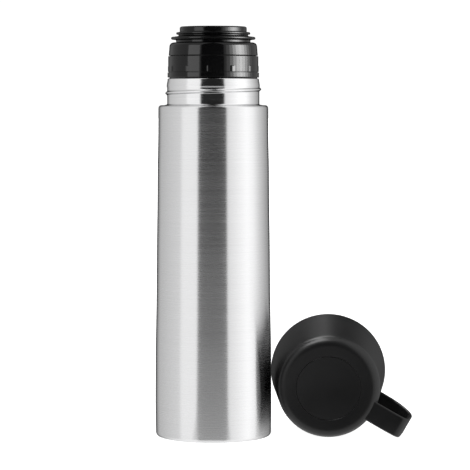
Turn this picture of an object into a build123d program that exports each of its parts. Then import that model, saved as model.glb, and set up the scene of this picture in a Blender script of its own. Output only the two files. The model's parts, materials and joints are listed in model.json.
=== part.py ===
from build123d import *
from math import atan2, cos, degrees, radians, sin
import os

# Vacuum flask standing on z = 0 with its axis on Z, and its cup lying beside it. Millimetres.

# flask body
shell_wall = 0.6
vessel_wall = 0.5
vessel_radius = 38.4
neck_radius = 34.6
lip_top = 269.2
bead_lift = 1.45
bead_pitch = 6.0
bead_start = 256.7

# stopper: threads, screw ring, plug and seals
thread_lead = 12.0
thread_starts = 2
neck_bore = 32.1
throat_bore = 30.1
skirt_radius = 30.55
skirt_bore = 27.3
skirt_bottom = 244.9
tube_radius = 27.0
tube_bore = 24.5
tube_bottom = 228.0
valve_hole = 14.0
ring_bottom = 270.0
ring_top = 285.9
rib_count = 12
rib_first = -94.5
dome_bottom = 286.3
dome_top = 296.1
core_radius = 24.0
core_bore = 22.0
core_top = 305.6
stopper_top = 308.0

# push button and valve
button_radius = 18.0
button_travel = 3.5
stem_radius = 2.6
guide_top = 290.8
boss_bottom = 299.3
spring_radius = 4.7
spring_wire = 0.7
spring_turns = 4

# cup
cup_height = 65.5
cup_mouth = 44.4
cup_end = 38.2
cup_round = 9.0
cup_wall = 1.8
cup_tilt = degrees(atan2(cup_mouth - cup_end, cup_height))
cup_yaw = 2.0
handle_turn = 29.4
disc_radius = 24.0
disc_groove = 0.45
strap_width = 16.0
strap_thick = 2.8


# ---------------------------------------------------------------- flask body
with BuildPart() as neck_bead:
    with BuildLine(Plane.XY.offset(bead_start)) as bead_path:
        Helix(pitch=bead_pitch, height=bead_pitch, radius=neck_radius)
    with BuildSketch(Plane(origin=bead_path.line @ 0, x_dir=(1, 0, 0), z_dir=bead_path.line % 0)):
        with BuildLine():
            Spline((-0.3, -2.0), (bead_lift, 0), (-0.3, 2.0), tangents=[(1, 0.6), (-1, 0.6)])
            Line((-0.3, -2.0), (-0.3, 2.0))
        make_face()
    sweep(path=bead_path.line, is_frenet=True)

with BuildPart() as outer_shell:
    with BuildSketch(Plane.XZ):
        with BuildLine():
            outside = Polyline((43.5, 2.6), (43.8, 26), (43.55, 68), (42.9, 98), (42.5, 143.5),
                               (41.8, 204), (41.4, 219), (41.15, 245.6))
            shoulder = ThreePointArc((41.15, 245.6), (40.2, 248.1), (37.8, 249.2))
            ledge = Line((37.8, 249.2), (36.0, 249.5))
            root = ThreePointArc((36.0, 249.5), (35.0, 250.0), (neck_radius, 251.4))
            neck = Polyline((neck_radius, 251.4), (neck_radius, 262.0), (35.0, 263.5), (34.3, 267.8))
            lip = ThreePointArc((34.3, 267.8), (33.9, 268.8), (32.9, lip_top))
            mouth = Polyline((32.9, lip_top), (neck_bore, lip_top), (neck_bore, 268.4), (32.9, 268.4),
                             (34.4, 263.2), (34.0, 261.6), (34.0, 250.6), (36.0, 248.8), (38.6, 247.4),
                             (40.5, 245.2), (40.8, 219), (41.2, 204), (41.9, 143.5), (42.3, 98),
                             (42.95, 68), (43.2, 26), (42.9, 2.8), (41.0, shell_wall), (40.0, shell_wall),
                             (40.0, 0), (41.0, 0))
            corner = ThreePointArc((41.0, 0), (42.8, 0.75), (43.5, 2.6))
        make_face()
    revolve(axis=Axis.Z)
    with PolarLocations(0, 1, start_angle=90):
        add(neck_bead.part)
outer_shell.part.label = "outer_shell"

with BuildPart() as neck_ridge:
    with BuildLine(Plane.XY.offset(249)) as neck_ridge_path:
        Helix(pitch=thread_lead, height=thread_lead, radius=neck_bore)
    with BuildSketch(Plane(origin=neck_ridge_path.line @ 0, x_dir=(1, 0, 0),
                           z_dir=neck_ridge_path.line % 0)):
        with BuildLine():
            Polyline((0.3, -1.3), (-1.2, -0.7), (-1.2, 0.7), (0.3, 1.3), close=True)
        make_face()
    sweep(path=neck_ridge_path.line, is_frenet=True)

with BuildPart() as inner_vessel:
    with BuildSketch(Plane.XZ):
        with BuildLine():
            Polyline((vessel_radius, 21), (37.2, 210), (35.6, 217), (30.6, 224), (30.6, 233), (32.6, 237),
                     (32.6, 268.4), (neck_bore, 268.4), (neck_bore, 237.2), (throat_bore, 233.2),
                     (throat_bore, 223.7), (35.1, 216.7), (36.7, 209.8),
                     (vessel_radius - vessel_wall, 21), close=True)
        make_face()
    revolve(axis=Axis.Z)
    with PolarLocations(0, thread_starts):
        add(neck_ridge.part)
inner_vessel.part.label = "inner_vessel"

with BuildPart() as vessel_bottom:
    with BuildSketch(Plane.XZ):
        with BuildLine():
            Line((0, 9), (26, 9))
            ThreePointArc((26, 9), (34.6, 12.4), (vessel_radius, 21))
            Line((vessel_radius, 21), (vessel_radius - vessel_wall, 21))
            ThreePointArc((vessel_radius - vessel_wall, 21), (34.3, 12.8), (26, 9 + vessel_wall))
            Polyline((26, 9 + vessel_wall), (0, 9 + vessel_wall), (0, 9))
        make_face()
    revolve(axis=Axis.Z)
vessel_bottom.part.label = "vessel_bottom"

with BuildPart() as outer_bottom:
    with BuildSketch(Plane.XZ):
        with BuildLine():
            Polyline((1.5, 3.0), (41.4, 3.0), (42.3, 4.0), (42.85, 6.5), (42.35, 6.5), (41.8, 4.4),
                     (41.2, 3.6), (1.5, 3.6), close=True)
        make_face()
    revolve(axis=Axis.Z)
outer_bottom.part.label = "outer_bottom"

with BuildPart() as base_cover:
    with BuildSketch(Plane.XZ):
        with BuildLine():
            Polyline((0, 0), (39.2, 0), (39.7, 0.5), (39.7, 1.3), (32, 1.3), (32, 3.0), (30.4, 3.0),
                     (30.4, 1.3), (0, 1.3), close=True)
        make_face()
    revolve(axis=Axis.Z)
base_cover.part.label = "base_cover"

with BuildPart() as vacuum_seal:
    with BuildSketch(Plane.XZ):
        with BuildLine():
            Polyline((0, 1.9), (0, 3.6), (1.5, 3.6), (1.5, 3.0), (3.2, 3.0))
            TangentArc((0, 1.9), (3.2, 3.0), tangent=(1, 0))
        make_face()
    revolve(axis=Axis.Z)
vacuum_seal.part.label = "vacuum_seal"

with BuildPart() as getter:
    with BuildSketch(Plane.XY.offset(3.6)):
        with Locations((18, 0)):
            Circle(5)
    extrude(amount=2.6)
    fillet(getter.edges().group_by(Axis.Z)[-1], radius=0.6)
getter.part.label = "getter"

with BuildPart() as radiation_foil:
    with BuildSketch(Plane.XZ):
        with BuildLine():
            Polyline((38.4, 26), (37.3, 200), (37.45, 200), (38.55, 26), close=True)
        make_face()
    revolve(axis=Axis.Z)
radiation_foil.part.label = "radiation_foil"

# ---------------------------------------------------------------- stopper, the part that turns
with BuildPart() as skirt_ridge:
    with BuildLine(Plane.XY.offset(252)) as skirt_ridge_path:
        Helix(pitch=thread_lead, height=thread_lead * 0.75, radius=skirt_radius)
    with BuildSketch(Plane(origin=skirt_ridge_path.line @ 0, x_dir=(1, 0, 0),
                           z_dir=skirt_ridge_path.line % 0)):
        with BuildLine():
            Polyline((-0.6, -1.3), (1.2, -0.7), (1.2, 0.7), (-0.6, 1.3), close=True)
        make_face()
    sweep(path=skirt_ridge_path.line, is_frenet=True)

with BuildPart() as screw_ring:
    with BuildSketch(Plane.XZ):
        with BuildLine():
            Polyline((skirt_bore, skirt_bottom), (skirt_radius, skirt_bottom), (skirt_radius, ring_bottom),
                     (33.6, ring_bottom), (34.3, 270.7), (34.3, 273.6), (33.8, 273.9), (33.8, 285.5),
                     (33.4, ring_top), (31.8, ring_top), (31.8, 272), (skirt_bore, 272), close=True)
        make_face()
    revolve(axis=Axis.Z)
    with PolarLocations(0, thread_starts):
        add(skirt_ridge.part)
    with BuildSketch(Plane.XY.offset(273.7)):
        with PolarLocations(33.3, rib_count, start_angle=rib_first):
            RectangleRounded(1.9, 5.2, 0.35)
    extrude(amount=4.9)
screw_ring.part.label = "screw_ring"

with BuildPart() as rim_gasket:
    with BuildSketch(Plane.XY.offset(lip_top)):
        Circle(32.9)
        Circle(skirt_radius, mode=Mode.SUBTRACT)
    extrude(amount=ring_bottom - lip_top)
rim_gasket.part.label = "rim_gasket"

# ---------------------------------------------------------------- stopper, the part that lifts
with BuildPart() as stopper_dome:
    with BuildSketch(Plane.XZ):
        with BuildLine():
            Polyline((core_bore, core_top), (core_radius, core_top), (core_radius, dome_top),
                     (29.8, dome_top))
            ThreePointArc((29.8, dome_top), (32.0, 295.15), (32.95, 292.9))
            Polyline((32.95, 292.9), (33.4, dome_bottom), (31.4, dome_bottom), (31.2, 291.8), (29.6, 294.0),
                     (tube_bore, 294.0), (tube_bore, 279.0), (core_bore, 279.0), (core_bore, 285.4),
                     (20.0, dome_bottom), (20.0, 288.3), (core_bore, 288.3), (core_bore, core_top))
        make_face()
    revolve(axis=Axis.Z)
stopper_dome.part.label = "stopper_dome"

with BuildPart() as plug_tube:
    with BuildSketch(Plane.XZ):
        with BuildLine():
            Polyline((valve_hole, tube_bottom), (tube_radius, tube_bottom), (tube_radius, 229.0),
                     (26.2, 229.0), (26.2, 232.4), (tube_radius, 232.4), (tube_radius, 243.4),
                     (26.2, 243.4), (26.2, 244.6), (tube_radius, 244.6), (tube_radius, 294.0),
                     (tube_bore, 294.0), (tube_bore, 230.5), (valve_hole, 230.5), close=True)
        make_face()
    revolve(axis=Axis.Z)
plug_tube.part.label = "plug_tube"

with BuildPart() as lip_seal_ring:
    with BuildSketch(Plane.XZ):
        with BuildLine():
            Polyline((core_radius, dome_top), (27.9, dome_top), (27.9, 298.1), (30.8, 298.6))
            ThreePointArc((30.8, 298.6), (31.6, 299.5), (30.8, 300.4))
            Polyline((30.8, 300.4), (27.0, 300.9), (25.8, 302.2), (27.0, 302.4))
            ThreePointArc((27.0, 302.4), (27.75, 303.15), (27.0, 303.9))
            Polyline((27.0, 303.9), (25.2, 304.3), (25.1, 304.8), (25.1, stopper_top - 1.2))
            ThreePointArc((25.1, stopper_top - 1.2), (24.75, stopper_top - 0.35), (23.9, stopper_top))
            Polyline((23.9, stopper_top), (22.8, stopper_top), (core_bore, stopper_top - 0.8),
                     (core_bore, core_top), (core_radius, core_top), (core_radius, dome_top))
        make_face()
    revolve(axis=Axis.Z)
lip_seal_ring.part.label = "lip_seal_ring"

with BuildPart() as throat_seal:
    with BuildSketch(Plane.XZ):
        with BuildLine():
            Polyline((26.2, 229.0), (28.4, 229.0), (29.8, 230.7), (28.4, 232.4), (26.2, 232.4), close=True)
        make_face()
    revolve(axis=Axis.Z)
throat_seal.part.label = "throat_seal"

with BuildPart() as snap_ring:
    with BuildSketch(Plane.XY.offset(243.4)):
        Circle(28.9)
        Circle(26.2, mode=Mode.SUBTRACT)
        with Locations((27.5, 0)):
            Rectangle(6, 5, mode=Mode.SUBTRACT)
    extrude(amount=1.2)
snap_ring.part.label = "snap_ring"

with BuildPart() as stem_guide:
    with BuildSketch(Plane.XY.offset(288.3)):
        Circle(core_bore)
        Circle(20.4, mode=Mode.SUBTRACT)
        with PolarLocations(12.5, 3):
            Rectangle(16.5, 3)
    extrude(amount=guide_top - 288.3)
    with BuildSketch(Plane.XY.offset(284)):
        Circle(6)
    extrude(amount=guide_top - 284)
    with BuildSketch(Plane.XY.offset(284)):
        Circle(stem_radius + 0.3)
    extrude(amount=guide_top - 284, mode=Mode.SUBTRACT)
stem_guide.part.label = "stem_guide"

with BuildPart() as button_spring:
    spring_length = boss_bottom - guide_top - spring_wire
    with BuildLine(Plane.XY.offset(guide_top + spring_wire / 2)) as coil_path:
        Helix(pitch=spring_length / spring_turns, height=spring_length, radius=spring_radius)
    with BuildSketch(Plane(origin=coil_path.line @ 0, z_dir=coil_path.line % 0)) as coil_section:
        Circle(spring_wire / 2)
    sweep(sections=coil_section.sketch, path=coil_path.line, is_frenet=True)
button_spring.part.label = "button_spring"

# ---------------------------------------------------------------- push button and valve
with BuildPart() as push_button:
    with BuildSketch(Plane.XZ):
        with BuildLine():
            Polyline((stem_radius, 301.5), (stem_radius, boss_bottom), (6.2, boss_bottom), (6.2, 301.5),
                     (16.4, 301.5), (16.4, 294.6), (button_radius, 294.6), (button_radius, 302.6))
            ThreePointArc((button_radius, 302.6), (17.5, 303.6), (16.4, 304.0))
            TangentArc((0, 305.0), (16.4, 304.0), tangent=(1, 0))
            Polyline((0, 305.0), (0, 301.5), (stem_radius, 301.5))
        make_face()
    revolve(axis=Axis.Z)
push_button.part.label = "push_button"

with BuildPart() as valve_stem:
    with BuildSketch(Plane.XZ):
        with BuildLine():
            Polyline((0, 221.6), (4.6, 221.6), (4.6, 223.5), (stem_radius, 223.5), (stem_radius, 298.5),
                     (2.1, 298.5), (2.1, boss_bottom), (stem_radius, boss_bottom), (stem_radius, 301.5),
                     (0, 301.5), close=True)
        make_face()
    revolve(axis=Axis.Z)
valve_stem.part.label = "valve_stem"

with BuildPart() as valve_plug:
    with BuildSketch(Plane.XZ):
        with BuildLine():
            Polyline((stem_radius, 223.5), (15.0, 223.5), (17.0, 224.6), (17.0, 226.2), (12.6, 226.2),
                     (12.6, 227.6), (6.0, 229.5), (6.0, 234.0), (stem_radius, 234.0), close=True)
        make_face()
    revolve(axis=Axis.Z)
valve_plug.part.label = "valve_plug"

with BuildPart() as valve_seal:
    with BuildSketch(Plane.XY.offset(226.2)):
        Circle(16.8)
        Circle(12.6, mode=Mode.SUBTRACT)
    extrude(amount=tube_bottom - 226.2)
    fillet(valve_seal.edges().group_by(Axis.Z)[-1].sort_by(SortBy.LENGTH)[-1], radius=0.6)
valve_seal.part.label = "valve_seal"

with BuildPart() as stem_clip:
    with BuildSketch(Plane.XY.offset(298.5)):
        Circle(3.9)
        Circle(2.1, mode=Mode.SUBTRACT)
        with Locations((3, 0)):
            Rectangle(4, 2.6, mode=Mode.SUBTRACT)
    extrude(amount=0.8)
stem_clip.part.label = "stem_clip"

# ---------------------------------------------------------------- cup, lying on its side
heading = Vector(cos(radians(cup_yaw)), -sin(radians(cup_yaw)), 0)
cup_axis_dir = Vector(sin(radians(cup_yaw)) * cos(radians(cup_tilt)),
                      cos(radians(cup_yaw)) * cos(radians(cup_tilt)),
                      sin(radians(cup_tilt)))
cup_down = heading.cross(cup_axis_dir) * -1
handle_dir = heading * cos(radians(handle_turn)) + cup_down * sin(radians(handle_turn))
cup_centre = Vector(86.2, -21.3, cup_end * cos(radians(cup_tilt)))
cup_face = Plane(origin=cup_centre, x_dir=handle_dir, z_dir=cup_axis_dir)
cup_side = Plane(origin=cup_centre, x_dir=handle_dir, z_dir=cup_axis_dir.cross(handle_dir) * -1)
cup_axis = Axis(cup_centre, cup_axis_dir)
cup_slope = (cup_mouth - cup_end) / cup_height
corner_reach = cup_round * (1 - cup_slope)
shoulder_radius = cup_end + cup_slope * corner_reach

with BuildPart() as cup_shell:
    with BuildSketch(cup_side):
        with BuildLine():
            Polyline((0, 1.15), (disc_radius + disc_groove, 1.15), (disc_radius + disc_groove, 0.2),
                     (disc_radius + disc_groove + 0.2, 0), (cup_end - corner_reach, 0))
            TangentArc((cup_end - corner_reach, 0), (shoulder_radius, corner_reach), tangent=(1, 0))
            Polyline((shoulder_radius, corner_reach), (cup_mouth - 0.1, 64.9), (cup_mouth - 0.6, cup_height),
                     (42.6, cup_height), (42.3, 64.9), (42.3, 62.0),
                     (shoulder_radius - cup_wall, corner_reach + 0.6))
            Spline((shoulder_radius - cup_wall, corner_reach + 0.6), (34.9, 4.1), (29.2, 2.4),
                   tangents=[(-cup_slope, -1), (-1, 0)])
            Polyline((29.2, 2.4), (0, 2.4), (0, 1.15))
        make_face()
    revolve(axis=cup_axis)
cup_shell.part.label = "cup_shell"

with BuildPart() as cup_ridge:
    with BuildLine(Plane.XY.offset(53)) as cup_ridge_path:
        Helix(pitch=bead_pitch, height=bead_pitch, radius=36.55)
    with BuildSketch(Plane(origin=cup_ridge_path.line @ 0, x_dir=(1, 0, 0),
                           z_dir=cup_ridge_path.line % 0)):
        with BuildLine():
            Polyline((0.3, -1.1), (-1.2, -0.5), (-1.2, 0.5), (0.3, 1.1), close=True)
        make_face()
    sweep(path=cup_ridge_path.line, is_frenet=True)

with BuildPart() as cup_liner:
    with BuildSketch(cup_side):
        with BuildLine():
            Line((0, 2.4), (24.5, 2.4))
            TangentArc((24.5, 2.4), (33.1, 10.5), tangent=(1, 0))
            Polyline((33.1, 10.5), (37.6, 62.0), (38.0, 64.3), (42.3, 64.3), (42.3, 64.9), (37.7, 64.9),
                     (37.1, 62.0), (32.6, 10.5))
            TangentArc((24.5, 2.9), (32.6, 10.5), tangent=(1, 0))
            Polyline((24.5, 2.9), (0, 2.9), (0, 2.4))
        make_face()
    revolve(axis=cup_axis)
    with Locations(cup_face):
        add(cup_ridge.part)
cup_liner.part.label = "cup_liner"

with BuildPart() as cup_base_disc:
    with BuildSketch(cup_face.offset(0.15)):
        Circle(disc_radius)
    extrude(amount=1.0)
    fillet(cup_base_disc.edges().sort_by(cup_axis)[0], radius=0.3)
cup_base_disc.part.label = "cup_base_disc"

with BuildPart() as cup_handle:
    with BuildSketch(cup_side):
        with BuildLine():
            FilletPolyline((30, 0.5), (64.3, 0.3), (73.0, 46.6), (30, 54.0), radius=[4.5, 23])
            Line((30, 54.0), (30, 0.5))
        make_face()
        offset(amount=-strap_thick, mode=Mode.SUBTRACT)
    extrude(amount=strap_width / 2, both=True)
    fillet(cup_handle.edges().filter_by(lambda edge: edge.length > 6), radius=1.2)
    with BuildSketch(cup_side):
        with BuildLine():
            Polyline((0, -5), (cup_end - cup_slope * 5, -5), (cup_mouth + cup_slope * 5, cup_height + 5),
                     (0, cup_height + 5), close=True)
        make_face()
    revolve(axis=cup_axis, mode=Mode.SUBTRACT)
cup_handle.part.label = "cup_handle"

# ---------------------------------------------------------------- write the parts
os.makedirs("parts", exist_ok=True)
for piece in (outer_shell, inner_vessel, vessel_bottom, outer_bottom, base_cover, vacuum_seal,
              getter, radiation_foil, screw_ring, rim_gasket, stopper_dome, plug_tube, lip_seal_ring, throat_seal, snap_ring,
              stem_guide, button_spring, push_button, valve_stem, valve_plug, valve_seal, stem_clip,
              cup_shell, cup_liner, cup_base_disc, cup_handle):
    export_step(piece.part, "parts/" + piece.part.label + ".step")
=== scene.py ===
import json
from math import atan2, ceil, cos, exp, hypot, pi, radians, sin, tan

import bpy
from mathutils import Matrix, Vector


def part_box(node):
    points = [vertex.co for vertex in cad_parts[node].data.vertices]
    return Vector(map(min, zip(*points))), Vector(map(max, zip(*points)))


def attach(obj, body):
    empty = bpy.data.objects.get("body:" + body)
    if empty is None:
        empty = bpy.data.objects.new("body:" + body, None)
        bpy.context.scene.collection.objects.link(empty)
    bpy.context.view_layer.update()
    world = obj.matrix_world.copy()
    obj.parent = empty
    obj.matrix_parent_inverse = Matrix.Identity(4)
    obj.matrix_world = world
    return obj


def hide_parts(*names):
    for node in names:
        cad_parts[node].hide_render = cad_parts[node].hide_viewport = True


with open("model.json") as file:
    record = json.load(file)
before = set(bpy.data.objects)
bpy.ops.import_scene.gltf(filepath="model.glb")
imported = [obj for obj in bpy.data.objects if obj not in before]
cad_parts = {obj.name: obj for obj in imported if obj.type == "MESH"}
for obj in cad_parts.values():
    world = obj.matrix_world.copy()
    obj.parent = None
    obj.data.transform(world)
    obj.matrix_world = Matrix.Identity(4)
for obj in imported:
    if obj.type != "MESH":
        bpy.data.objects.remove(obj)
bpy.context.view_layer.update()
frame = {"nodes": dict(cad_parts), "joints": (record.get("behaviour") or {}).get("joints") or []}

# Outlines and pieces are in millimetres until mesh_object scales them. Lights and camera are in metres.
MM = 0.001
TOUCHING = 1e-4
NEARLY_STRAIGHT = pi - 0.02
scene = bpy.context.scene


# ------------------------------------------------------------------ outlines
def rounded(corners, steps=5, share=0.49):
    """Points along (radius, height, fillet) corners, each fillet an arc.

    A quarter turn has about steps points, and no fillet takes up more than share of a side."""
    points = []
    last = len(corners) - 1
    for i, (r, z, fillet) in enumerate(corners):
        here = Vector((r, z))
        if fillet <= 0 or i in (0, last):
            points.append(here)
            continue
        back = Vector(corners[i - 1][:2]) - here
        ahead = Vector(corners[i + 1][:2]) - here
        angle = back.angle(ahead)
        if angle > NEARLY_STRAIGHT:
            points.append(here)
            continue
        reach = min(fillet / tan(angle / 2), back.length * share, ahead.length * share)
        size = reach * tan(angle / 2)
        start = here + back.normalized() * reach
        end = here + ahead.normalized() * reach
        centre = here + (back.normalized() + ahead.normalized()).normalized() * (size / sin(angle / 2))
        first = atan2(start.y - centre.y, start.x - centre.x)
        final = atan2(end.y - centre.y, end.x - centre.x)
        turn = (final - first + pi) % (2 * pi) - pi
        count = max(2, round(steps * abs(turn) / (pi / 2)) + 1)
        for k in range(count + 1):
            a = first + turn * k / count
            points.append(centre + Vector((cos(a), sin(a))) * size)
    return points


def smooth_run(knots, step):
    """Points on a smooth curve through (radius, height) knots of rising height."""
    points = []
    for i in range(len(knots) - 1):
        before = Vector(knots[max(i - 1, 0)])
        low = Vector(knots[i])
        high = Vector(knots[i + 1])
        after = Vector(knots[min(i + 2, len(knots) - 1)])
        rise = high.y - low.y
        slope_low = (high.x - before.x) / (high.y - before.y) * rise
        slope_high = (after.x - low.x) / (after.y - low.y) * rise
        count = max(1, round((high - low).length / step))
        for k in range(count):
            t = k / count
            r = ((2 * t ** 3 - 3 * t ** 2 + 1) * low.x + (t ** 3 - 2 * t ** 2 + t) * slope_low
                 + (3 * t ** 2 - 2 * t ** 3) * high.x + (t ** 3 - t ** 2) * slope_high)
            points.append(Vector((r, low.y + rise * t)))
    points.append(Vector(knots[-1]))
    return points


def split_long(points, step):
    """The same outline with no run longer than step."""
    out = [Vector(points[0])]
    for a, b in zip(points, points[1:]):
        a, b = Vector(a), Vector(b)
        count = max(1, ceil((b - a).length / step))
        out += [a.lerp(b, k / count) for k in range(1, count + 1)]
    return out


def joined(*runs):
    """One outline from runs that each start where the one before ends."""
    points = []
    for run in runs:
        points += [p for p in run if not points or (p - points[-1]).length > TOUCHING]
    return points


def clamped(value):
    """The value, kept between 0 and 1."""
    return min(1.0, max(0.0, value))


def eased(share):
    """A share between 0 and 1 with a gentle start and end."""
    return share * share * (3 - 2 * share)


# ------------------------------------------------------------------ meshes
def signed_volume(mesh):
    """Six times the volume within the faces, negative when they face inwards."""
    total = 0.0
    for face in mesh.polygons:
        v = [mesh.vertices[i].co for i in face.vertices]
        for k in range(1, len(v) - 1):
            total += v[0].dot(v[k].cross(v[k + 1]))
    return total


def mesh_object(name, verts, faces, place):
    """A smooth object in the scene, scaled to metres, placed, and with its faces outwards."""
    mesh = bpy.data.meshes.new(name)
    mesh.from_pydata([tuple(place @ (Vector(v) * MM)) for v in verts], [], faces)
    mesh.validate()
    mesh.update()
    if signed_volume(mesh) < 0:
        mesh.flip_normals()
    mesh.shade_smooth()
    obj = bpy.data.objects.new(name, mesh)
    scene.collection.objects.link(obj)
    return obj


def lathe(name, points, turns=192, place=Matrix.Identity(4), bulge=None, closed=True):
    """The outline turned about local Z. bulge(angle, r, z) adds to the radius.

    A closed outline runs back to its first point, and another one starts and ends on the axis."""
    loop = list(points)
    if closed and (loop[0] - loop[-1]).length < TOUCHING:
        loop.pop()
    verts = []
    rows = []
    for p in loop:
        if p.x < TOUCHING:
            rows.append([len(verts)] * turns)
            verts.append((0, 0, p.y))
            continue
        row = []
        for k in range(turns):
            a = 2 * pi * k / turns
            r = p.x + (bulge(a, p.x, p.y) if bulge else 0)
            row.append(len(verts))
            verts.append((r * cos(a), r * sin(a), p.y))
        rows.append(row)
    faces = []
    for low, high in zip(rows, rows[1:] + rows[:1] if closed else rows[1:]):
        for k in range(turns):
            n = (k + 1) % turns
            face = [low[k], low[n], high[n], high[k]]
            face = [v for j, v in enumerate(face) if v != face[j - 1]]
            if len(set(face)) > 2:
                faces.append(face)
    return mesh_object(name, verts, faces, place)


def swept_strap(name, path, side, width, thick, edge, place):
    """A strap along a path of points, width across side, with edges rounded by edge."""
    corner_steps = 4
    section = []
    w, t = width / 2 - edge, thick / 2 - edge
    for cx, cy, start in ((w, t, 0), (-w, t, 90), (-w, -t, 180), (w, -t, 270)):
        for k in range(corner_steps + 1):
            a = radians(start + 90 * k / corner_steps)
            section.append((cx + edge * cos(a), cy + edge * sin(a)))
    verts = []
    faces = []
    count = len(section)
    for i, p in enumerate(path):
        ahead = (path[min(i + 1, len(path) - 1)] - path[max(i - 1, 0)]).normalized()
        out = ahead.cross(side).normalized()
        for u, v in section:
            verts.append(p + side * u + out * v)
        if i:
            for k in range(count):
                n = (k + 1) % count
                a, b = (i - 1) * count, i * count
                faces.append([a + k, a + n, b + n, b + k])
    faces.append(list(range(count))[::-1])
    faces.append([(len(path) - 1) * count + k for k in range(count)])
    return mesh_object(name, verts, faces, place)


# ------------------------------------------------------------------ node building
class Graph:
    """Short calls for building the nodes of a material or of the world."""

    def __init__(self, owner):
        owner.use_nodes = True
        self.tree = owner.node_tree

    def feed(self, node, inputs):
        """Give each input, by name or number, its value or its link. Colours are red, green, blue."""
        for key, value in inputs.items():
            socket = node.inputs[key]
            if isinstance(value, bpy.types.NodeSocket):
                self.tree.links.new(value, socket)
            elif socket.type == "RGBA":
                socket.default_value = (*value, 1)
            else:
                socket.default_value = value

    def node(self, kind, inputs, **settings):
        made = self.tree.nodes.new(kind)
        for key, value in settings.items():
            setattr(made, key, value)
        self.feed(made, inputs)
        return made

    def noise(self, stretch, scale, detail, rough):
        """Noise in object space, finer along the axes with more stretch."""
        coords = self.node("ShaderNodeTexCoord", {}).outputs["Object"]
        mapping = self.node("ShaderNodeMapping", {"Vector": coords, "Scale": stretch})
        inputs = {"Vector": mapping.outputs["Vector"], "Scale": scale, "Detail": detail, "Roughness": rough}
        return self.node("ShaderNodeTexNoise", inputs).outputs["Fac"]

    def ramp(self, factor, stops):
        """A colour ramp through (place, colour) stops."""
        made = self.node("ShaderNodeValToRGB", {"Fac": factor})
        ends = made.color_ramp.elements
        while len(ends) < len(stops):
            ends.new(0.5)
        for end, (place, colour) in zip(ends, stops):
            end.position = place
            end.color = (*colour, 1)
        return made.outputs["Color"]

    def span(self, value, low, high, from_low=0.25, from_high=0.75):
        """The value's range from_low to from_high stretched to low to high."""
        inputs = {"Value": value, "From Min": from_low, "From Max": from_high, "To Min": low, "To Max": high}
        return self.node("ShaderNodeMapRange", inputs).outputs["Result"]

    def maths(self, operation, a, b):
        return self.node("ShaderNodeMath", {0: a, 1: b}, operation=operation).outputs[0]

    def weighed(self, a, b, share):
        """A share of a, and b for the rest."""
        return self.maths("ADD", self.maths("MULTIPLY", a, share), self.maths("MULTIPLY", b, 1 - share))

    def mix(self, factor, a, b):
        """From colour a to colour b. The numbers are the node's colour sockets."""
        return self.node("ShaderNodeMix", {0: factor, 6: a, 7: b}, data_type="RGBA").outputs[2]

    def bump(self, height, strength, distance):
        inputs = {"Height": height, "Strength": strength, "Distance": distance}
        return self.node("ShaderNodeBump", inputs).outputs["Normal"]


# ------------------------------------------------------------------ materials
def new_material(name):
    """A material, its node graph and its shader."""
    material = bpy.data.materials.new(name)
    graph = Graph(material)
    return material, graph, graph.tree.nodes["Principled BSDF"]


def brushed_steel(name, tone, rough, aniso, lines):
    """Steel brushed round the axis. lines says how strongly the brushing shows."""
    material, graph, shader = new_material(name)
    fine = graph.noise((14, 14, 2600), 1.0, 2.0, 0.6)
    wide = graph.noise((9, 9, 420), 1.0, 3.0, 0.6)
    cloud = graph.noise((11, 11, 5), 1.0, 2.0, 0.5)
    brushing = graph.weighed(fine, wide, 0.82)
    dark = tuple(c * (1 - 0.16 * lines) for c in tone)
    bright = tuple(min(1.0, c * (1 + 0.07 * lines)) for c in tone)
    tangent = graph.node("ShaderNodeTangent", {}, direction_type="RADIAL", axis="Z")
    graph.feed(shader, {
        "Base Color": graph.ramp(brushing, ((0.3, dark), (0.7, bright))),
        "Metallic": 1.0,
        "Roughness": graph.span(graph.weighed(brushing, cloud, 0.8), rough * 0.82, rough * 1.2),
        "Anisotropic": aniso,
        "Anisotropic Rotation": 0.25,
        "Tangent": tangent.outputs["Tangent"],
        "Normal": graph.bump(brushing, 0.06 * lines, 0.0002)})
    return material


def moulded(name, tone, rough, grain, grain_scale, depth=0.0001, spread=0.12, gloss=0.5):
    """A moulded or cast surface, with a grain of that scale and depth, patchy by spread."""
    material, graph, shader = new_material(name)
    cells = graph.noise((1, 1, 1), grain_scale, 3.0, 0.55)
    cloud = graph.noise((1, 1, 1), 38.0, 3.0, 0.5)
    light = tuple(min(1.0, c * (1 + spread * 2) + 0.001) for c in tone)
    patches = graph.weighed(cells, cloud, 0.5)
    graph.feed(shader, {
        "Specular IOR Level": gloss,
        "Base Color": graph.mix(graph.span(cloud, 0, 1), tone, light),
        "Roughness": graph.span(patches, rough * (1 - spread), rough * (1 + spread)),
        "Normal": graph.bump(cells, grain, depth)})
    return material


def glowing_paper(name, tone, rough, glow):
    """Matt paper that gives off light of its own."""
    material, graph, shader = new_material(name)
    graph.feed(shader, {
        "Base Color": tone, "Roughness": rough, "Specular IOR Level": 0.0,
        "Emission Color": (1.0, 1.0, 1.0), "Emission Strength": glow})
    return material


def give(obj, material):
    """Make the material the object's only one."""
    obj.data.materials.clear()
    obj.data.materials.append(material)


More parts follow.
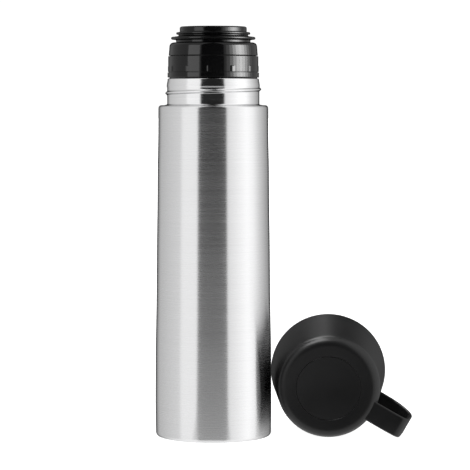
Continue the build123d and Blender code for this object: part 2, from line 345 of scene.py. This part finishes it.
shell_steel = brushed_steel("shell_steel", (0.70, 0.70, 0.705), 0.26, 0.98, 0.35)
neck_steel = brushed_steel("neck_steel", (0.74, 0.74, 0.745), 0.16, 0.55, 0.35)
inner_steel = brushed_steel("inner_steel", (0.66, 0.66, 0.67), 0.30, 0.7, 0.7)
stopper_black = moulded("stopper_black", (0.0010, 0.0010, 0.0011), 0.09, 0.001, 500, spread=0.04, gloss=0.25)
seal_black = moulded("seal_black", (0.0012, 0.0012, 0.0013), 0.14, 0.004, 700, gloss=0.22)
cup_black = moulded("cup_black", (0.0036, 0.0036, 0.0038), 0.34, 0.05, 1900, gloss=0.32)
inner_plastic = moulded("inner_plastic", (0.012, 0.012, 0.012), 0.34, 0.08, 1500)
button_grey = moulded("button_grey", (0.055, 0.056, 0.058), 0.38, 0.10, 2100)
seal_clear = moulded("seal_clear", (0.62, 0.62, 0.60), 0.34, 0.05, 900)
base_rubber = moulded("base_rubber", (0.018, 0.018, 0.018), 0.62, 0.22, 1300, depth=0.0002)
solder = moulded("solder", (0.52, 0.48, 0.38), 0.32, 0.10, 700, depth=0.0002)
getter_grey = moulded("getter_grey", (0.12, 0.12, 0.13), 0.7, 0.30, 2600, depth=0.0002)

# ------------------------------------------------------------------ flask shell
lip_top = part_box("outer_shell")[1][2] / MM
foot_radius, foot_top = 43.5, 3.2
body_top_radius, body_top = 41.2, 244.6
neck_radius, neck_bottom, neck_top = 34.6, 253.0, 267.6
body_knots = [(foot_radius, foot_top), (43.66, 12), (43.78, 26), (43.70, 45), (43.55, 68), (43.05, 92),
              (42.85, 105), (42.5, 143.5), (42.05, 174), (41.8, 204), (41.4, 222),
              (body_top_radius, body_top)]
bead_low, bead_rise, bead_lift = 256.7, 6.0, 1.42
bead_half_width = 1.75
bead_fade = 0.06


def neck_bead(angle, r, z):
    """The rolled screw bead: one right-hand turn that starts and ends at the back."""
    if not 251.5 < z < 268.0 or r < 34.2:
        return 0.0
    turn = ((angle - pi / 2) % (2 * pi)) / (2 * pi)
    lift = 0.0
    for k in (-1, 0, 1):
        t = turn + k
        if -bead_fade < t < 1 + bead_fade:
            fade = eased(min(1.0, (t + bead_fade) / (2 * bead_fade), (1 + bead_fade - t) / (2 * bead_fade)))
            d = (z - bead_low - bead_rise * t) / bead_half_width
            if abs(d) < 1:
                lift += bead_lift * fade * (1 - d * d) ** 2
    return lift


def shell_outline():
    """The steel jacket: foot, body, shoulder, neck and lip, and back down inside."""
    foot = rounded([(40.0, 0.6, 0), (40.0, 0, 0.2), (41.3, 0, 0.4), (42.7, 0.55, 1.4),
                    (foot_radius, 2.2, 1.4), (foot_radius, foot_top, 0)])
    body = split_long(smooth_run(body_knots, 4.0), 3.0)
    shoulder = rounded([(body_top_radius, body_top, 0), (41.15, 249.15, 3.4), (37.0, 249.3, 0.6),
                        (neck_radius, 249.75, 0.9), (neck_radius, neck_bottom, 0)], steps=9)
    neck = split_long([(neck_radius, neck_bottom), (neck_radius, 255.0), (34.62, 262.2), (34.95, 263.6),
                       (34.75, 265.2), (34.3, neck_top)], 0.35)
    lip = rounded([(34.3, neck_top, 0), (34.25, lip_top, 1.15), (32.1, lip_top, 0.3), (32.1, 268.4, 0)],
                  steps=8)
    inside = rounded([(32.1, 268.4, 0), (33.2, 268.4, 0), (34.0, 266.0, 0), (34.0, 250.6, 0.5),
                      (36.2, 248.6, 0.5), (40.5, 248.3, 2.4), (40.8, 219, 0), (41.2, 204, 0),
                      (41.9, 143.5, 0), (42.3, 98, 0), (42.95, 68, 0), (43.15, 26, 0), (42.9, 2.8, 0.5),
                      (41.0, 0.6, 0.2), (40.0, 0.6, 0)])
    return joined(foot, body, shoulder, neck, lip, inside)


shell = lathe("flask_shell", shell_outline(), turns=256, bulge=neck_bead)
shell.data.materials.append(shell_steel)
shell.data.materials.append(neck_steel)
neck_starts, neck_reaches = 0.2487, 0.0395
for face in shell.data.polygons:
    if face.center.z > neck_starts and hypot(face.center.x, face.center.y) < neck_reaches:
        face.material_index = 1
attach(shell, "flask")
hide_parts("outer_shell")

# ------------------------------------------------------------------ screw ring
rib_first, rib_step, rib_half = radians(-94.2), radians(30), 1.5
rib_bottom, rib_top, rib_radius = 274.16, 278.6, 34.22
rib_rise, rib_fall, rib_top_slope = 0.8, 2.2, 0.25
band_radius, band_bottom, band_top = 33.82, 274.2, 285.2
sleeve_bore, sleeve_radius, sleeve_bottom = 27.3, 30.55, 244.9
thread_low, thread_high = 250.0, 264.0
ridge_start, ridge_pitch, ridge_turns = 252.0, 12.0, 0.78
ridge_lift, ridge_half_width, ridge_flank = 1.2, 1.3, 0.6


def grip_ribs(angle, r, z):
    """Small upright ribs on the band above the ledge, steep on one side."""
    if not rib_bottom < z < rib_top or r < 33.7:
        return 0.0
    off = ((angle - rib_first + rib_step / 2) % rib_step) - rib_step / 2
    across = off * 33.8
    side = clamped((rib_half + across) / rib_rise + 0.5)
    fall = clamped((rib_half + 0.4 - across) / rib_fall)
    top = clamped((rib_top - z) / rib_top_slope)
    return max(0.0, rib_radius - r) * eased(side) * fall * top


def sleeve_ridges(angle, r, z):
    """Two-start screw ridges on the hidden sleeve, three quarters of a turn each."""
    if not thread_low < z < thread_high or abs(r - sleeve_radius) > 0.15:
        return 0.0
    lift = 0.0
    for start in (0.0, pi):
        turn = ((angle - start) % (2 * pi)) / (2 * pi)
        for k in (-1, 0):
            t = turn + k
            if -0.03 < t < ridge_turns:
                d = abs(z - ridge_start - ridge_pitch * t)
                lift = max(lift, ridge_lift * clamped((ridge_half_width - d) / ridge_flank))
    return lift


def ring_shape(angle, r, z):
    return grip_ribs(angle, r, z) + sleeve_ridges(angle, r, z)


def ring_outline():
    """The threaded sleeve, the ledge over the lip, and the band."""
    sleeve = [Vector((sleeve_bore, 271.9)), Vector((sleeve_bore, sleeve_bottom)),
              Vector((sleeve_radius, sleeve_bottom)), Vector((sleeve_radius, thread_low))]
    thread = split_long([(sleeve_radius, thread_low), (sleeve_radius, thread_high)], 0.3)
    ledge = rounded([(sleeve_radius, thread_high, 0), (sleeve_radius, 270.0, 0), (34.05, 270.0, 0.1),
                     (34.3, 270.3, 0.1), (34.3, 273.65, 0.2), (33.4, 273.75, 0.05), (33.4, 274.15, 0.05),
                     (band_radius, band_bottom, 0)], steps=4)
    ribbed = split_long([(band_radius, band_bottom), (band_radius, 279.4)], 0.25)
    band = split_long([(band_radius, 279.4), (33.8, band_top)], 1.0)
    top = rounded([(33.8, band_top, 0), (33.75, 285.9, 0.35), (31.8, 285.9, 0.2), (31.8, 272, 0.4),
                   (sleeve_bore, 272, 0)], steps=4)
    return joined(sleeve, thread, ledge, ribbed, band, top)


ring = lathe("grip_ring", ring_outline(), turns=720, bulge=ring_shape)
give(ring, stopper_black)
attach(ring, "stopper_ring")
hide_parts("screw_ring")

# ------------------------------------------------------------------ dome and lip seal
core_bore, core_radius, core_top = 22.0, 24.0, 305.6
dome_bottom, dome_top = 286.3, 296.1
stopper_top = 308.0
dome = lathe("dome_cover", rounded([
    (core_bore, core_top, 0), (core_radius, core_top, 0), (core_radius, dome_top, 0.2), (32.6, dome_top, 3.0),
    (33.4, dome_bottom, 0.4), (31.4, dome_bottom, 0.3), (31.2, 291.8, 1.0), (29.6, 294.0, 0.5),
    (24.5, 294.0, 0), (24.5, 279.0, 0), (core_bore, 279.0, 0), (core_bore, 285.4, 0), (20.0, 286.3, 0),
    (20.0, 288.3, 0), (core_bore, 288.3, 0), (core_bore, core_top, 0)], steps=9), turns=256)
give(dome, stopper_black)
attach(dome, "stopper_plug")
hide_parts("stopper_dome")

seal = lathe("lip_fins", rounded([
    (core_radius, core_top, 0), (core_radius, 296.15, 0), (27.9, 296.15, 0.2), (27.9, 298.0, 0.6),
    (31.6, 298.4, 0.85), (31.6, 300.2, 0.85), (26.2, 300.9, 0.7), (26.0, 302.0, 0.4), (27.75, 302.1, 0.7),
    (27.75, 303.7, 0.7), (25.1, 304.1, 0.3), (25.1, stopper_top, 1.3), (22.6, stopper_top, 0.8),
    (core_bore, 306.6, 0.4), (core_bore, core_top, 0), (core_radius, core_top, 0)], steps=8), turns=256)
give(seal, seal_black)
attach(seal, "stopper_plug")
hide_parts("lip_seal_ring")

# ------------------------------------------------------------------ cup
cup_end, cup_mouth, cup_height = 38.2, 44.4, 65.5
cup_tilt = atan2(cup_mouth - cup_end, cup_height)
handle_turn = radians(29.4)
disc_radius, disc_groove = 24.0, 0.45

joint = next(j for j in frame["joints"] if j["name"] == "cup_tip")
heading = Vector(joint["axis"]).normalized()
heading = heading if heading.x > 0 else -heading
forward = Vector((-heading.y, heading.x, 0))
cup_axis = forward * cos(cup_tilt) + Vector((0, 0, 1)) * sin(cup_tilt)
cup_down = -heading.cross(cup_axis).normalized()
handle_out = heading * cos(handle_turn) + cup_down * sin(handle_turn)
across = cup_axis.cross(handle_out)
cup_centre = Vector((86.2, -21.3, cup_end * cos(cup_tilt))) * MM
cup_place = Matrix.Translation(cup_centre) @ Matrix((
    (handle_out.x, across.x, cup_axis.x, 0),
    (handle_out.y, across.y, cup_axis.y, 0),
    (handle_out.z, across.z, cup_axis.z, 0),
    (0, 0, 0, 1)))

seat_radius = disc_radius + disc_groove
cup_outline = rounded([
    (0, 1.15, 0), (seat_radius, 1.15, 0.15), (seat_radius, 0, 0.28), (cup_end, 0, 9.0),
    (cup_mouth - 0.1, 65.0, 0.4), (cup_mouth - 0.5, cup_height, 0.4), (42.5, cup_height, 0.25),
    (42.3, 64.9, 0), (42.3, 62, 0), (37.3, 10.5, 5.5), (34.9, 3.4, 5.5), (29.2, 2.4, 1.0), (0, 2.4, 0)],
    steps=10)
cup = lathe("cup_body", split_long(cup_outline, 4.0), turns=192, place=cup_place, closed=False)
give(cup, cup_black)
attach(cup, "cup")
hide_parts("cup_shell")

disc_outline = rounded([(0, 0.15, 0), (disc_radius, 0.12, 0.3), (disc_radius, 1.14, 0), (0, 1.14, 0)])
disc = lathe("cup_inset", disc_outline, turns=192, place=cup_place, closed=False)
give(disc, cup_black)
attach(disc, "cup")
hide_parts("cup_base_disc")

strap_width, strap_thick, strap_edge = 16.0, 2.8, 1.3
strap_line = rounded([(34.5, 2.9, 0), (50.0, 1.72, 30), (63.2, 2.1, 5.5), (71.3, 45.6, 21.6),
                      (41.0, 51.0, 0)], steps=14, share=0.8)
strap_path = [Vector((p.x, 0, p.y)) for p in split_long(strap_line, 1.5)]
strap = swept_strap("cup_strap", strap_path, Vector((0, 1, 0)), strap_width, strap_thick, strap_edge,
                    cup_place)
give(strap, cup_black)
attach(strap, "cup")
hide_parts("cup_handle")

# ------------------------------------------------------------------ CAD nodes that stay as they are
for node, material in (
        ("inner_vessel", inner_steel), ("vessel_bottom", inner_steel), ("outer_bottom", inner_steel),
        ("base_cover", base_rubber), ("vacuum_seal", solder), ("getter", getter_grey),
        ("radiation_foil", inner_steel), ("rim_gasket", seal_black), ("plug_tube", inner_plastic),
        ("throat_seal", seal_clear), ("snap_ring", inner_plastic), ("stem_guide", inner_plastic),
        ("button_spring", inner_steel), ("push_button", button_grey), ("valve_stem", inner_plastic),
        ("valve_plug", inner_plastic), ("valve_seal", seal_clear), ("stem_clip", inner_steel),
        ("cup_liner", inner_steel)):
    give(frame["nodes"][node], material)


# ------------------------------------------------------------------ floor and card
def flat_sheet(name, corners, material):
    """A sheet of paper in the scene, with its corners in metres."""
    mesh = bpy.data.meshes.new(name)
    mesh.from_pydata(corners, [], [(0, 1, 2, 3)])
    sheet = bpy.data.objects.new(name, mesh)
    scene.collection.objects.link(sheet)
    give(sheet, material)
    return sheet


# The floor is hidden from reflections, where the card and the world's lower half stand in for it.
reach, below_foot = 30.0, 0.0002
floor = flat_sheet("floor", [(-reach, -reach, 0), (reach, -reach, 0), (reach, reach, 0), (-reach, reach, 0)],
                   glowing_paper("floor_paper", (0.88, 0.88, 0.88), 0.9, 0.95))
floor.location.z = -below_foot
floor.visible_glossy = False

# The card lies before the flask, and only reflections see it.
card_level = 0.0003
card = flat_sheet("front_card", [(-0.022, -0.047, card_level), (0.018, -0.047, card_level),
                                 (0.28, -0.6, card_level), (-0.34, -0.6, card_level)],
                  glowing_paper("card_paper", (0.0, 0.0, 0.0), 0.5, 0.6))
card.visible_camera = False
card.visible_diffuse = False
card.visible_shadow = False
card.visible_transmission = False


# ------------------------------------------------------------------ lights
def softbox(name, place, aim, size, power, pieces):
    """A rectangular light that reaches only these pieces, and that the camera doesn't see."""
    data = bpy.data.lights.new(name, "AREA")
    data.shape = "RECTANGLE"
    data.size, data.size_y = size
    data.energy = power
    lamp = bpy.data.objects.new(name, data)
    lamp.location = place
    lamp.rotation_euler = (Vector(aim) - Vector(place)).to_track_quat("-Z", "Y").to_euler()
    lamp.visible_camera = False
    scene.collection.objects.link(lamp)
    lit = bpy.data.collections.new(name + "_lights")
    for piece in pieces:
        lit.objects.link(piece)
    lamp.light_linking.receiver_collection = lit


def beside(azimuth):
    """A place round the flask at the side lights' distance: 0 is the front and 90 the right, in degrees."""
    distance, height = 2.2, 0.4
    a = radians(azimuth)
    return (sin(a) * distance, -cos(a) * distance, height)


middle, cup_middle = (0.03, 0, 0.15), (0.09, -0.02, 0.05)
stopper_pieces = [ring, dome, seal, frame["nodes"]["push_button"]]
cup_pieces = [cup, disc, strap]

# strips side by side at the right, brightest in the middle, so that their edges are soft
strip_width, strip_height, strip_step = 0.34, 1.6, 9
strips_from, strips_to, strips_middle = 39, 111, 73
shine_peak, shine_spread = 23, 20
for azimuth in range(strips_from, strips_to + 1, strip_step):
    shine = shine_peak * exp(-((azimuth - strips_middle) / shine_spread) ** 2)
    power = shine * pi * strip_width * strip_height
    softbox(f"side_strip_{azimuth}", beside(azimuth), middle, (strip_width, strip_height), power,
            stopper_pieces)
softbox("left_panel", beside(-51), middle, (1.26, 1.6), 15, stopper_pieces)
softbox("cup_back_box", (-0.55, 0.8, 1.5), middle, (2.0, 0.8), 14, cup_pieces)
softbox("cup_top_box", (-0.5, -0.1, 1.6), cup_middle, (1.8, 0.9), 48, cup_pieces)

# ------------------------------------------------------------------ world
world = bpy.data.worlds.new("studio")
scene.world = world
room = Graph(world)
room.tree.nodes.clear()
direction = room.node("ShaderNodeTexCoord", {}).outputs["Generated"]
along = room.node("ShaderNodeSeparateXYZ", {"Vector": direction}).outputs
bearing = room.maths("ARCTAN2", along["X"], room.maths("MULTIPLY", along["Y"], -1.0))
round_room = room.span(bearing, 0.0, 1.0, -pi, pi)


def wall(stops):
    """Brightness round the room, from (azimuth, brightness) stops in degrees."""
    return room.ramp(round_room, [((degrees + 180) / 360, (value, value, value)) for degrees, value in stops])


left_wall = ((-180, 0.012), (-164, 0.02), (-151, 0.32), (-138, 0.64), (-106, 0.79), (-72, 0.92), (-67, 1.2),
             (-33, 1.18))
right_wall = ((30, 1.02), (46, 1.18), (75, 1.5), (91, 1.36), (110, 0.93), (137, 0.52), (148, 0.42),
              (160, 0.04), (180, 0.012))
above = wall(left_wall + ((-30, 0.018), (27, 0.018)) + right_wall)
below = wall(left_wall + ((-30, 0.06), (27, 0.06)) + right_wall)
walls = room.mix(room.span(along["Z"], 0.0, 1.0, 0.0, -0.2), above, below)
paper_glow = (1.3, 1.3, 1.3)
shade = room.mix(room.span(along["Z"], 0.0, 1.0, -0.45, -0.75), walls, paper_glow)
room_light = room.node("ShaderNodeBackground", {"Color": shade, "Strength": 1.0}).outputs[0]
white_paper = room.node("ShaderNodeBackground", {"Color": (1, 1, 1), "Strength": 1.05}).outputs[0]

# the camera sees white paper where everything else sees the room
seen = room.node("ShaderNodeLightPath", {}).outputs["Is Camera Ray"]
surface = room.node("ShaderNodeMixShader", {"Fac": seen, 1: room_light, 2: white_paper}).outputs[0]
room.node("ShaderNodeOutputWorld", {"Surface": surface})

# ------------------------------------------------------------------ camera
camera_data = bpy.data.cameras.new("camera")
camera_data.lens = 173.0
camera_data.sensor_width = 36
camera_data.clip_end = 100
camera = bpy.data.objects.new("camera", camera_data)
camera.location = (0.0163, -1.699, 0.253)
camera_aim = Vector((0.0163, 0, 0.1516))
camera.rotation_euler = (camera_aim - camera.location).to_track_quat("-Z", "Y").to_euler()
scene.collection.objects.link(camera)
bpy.context.scene.camera = camera
bpy.context.scene.view_settings.view_transform = "Standard"
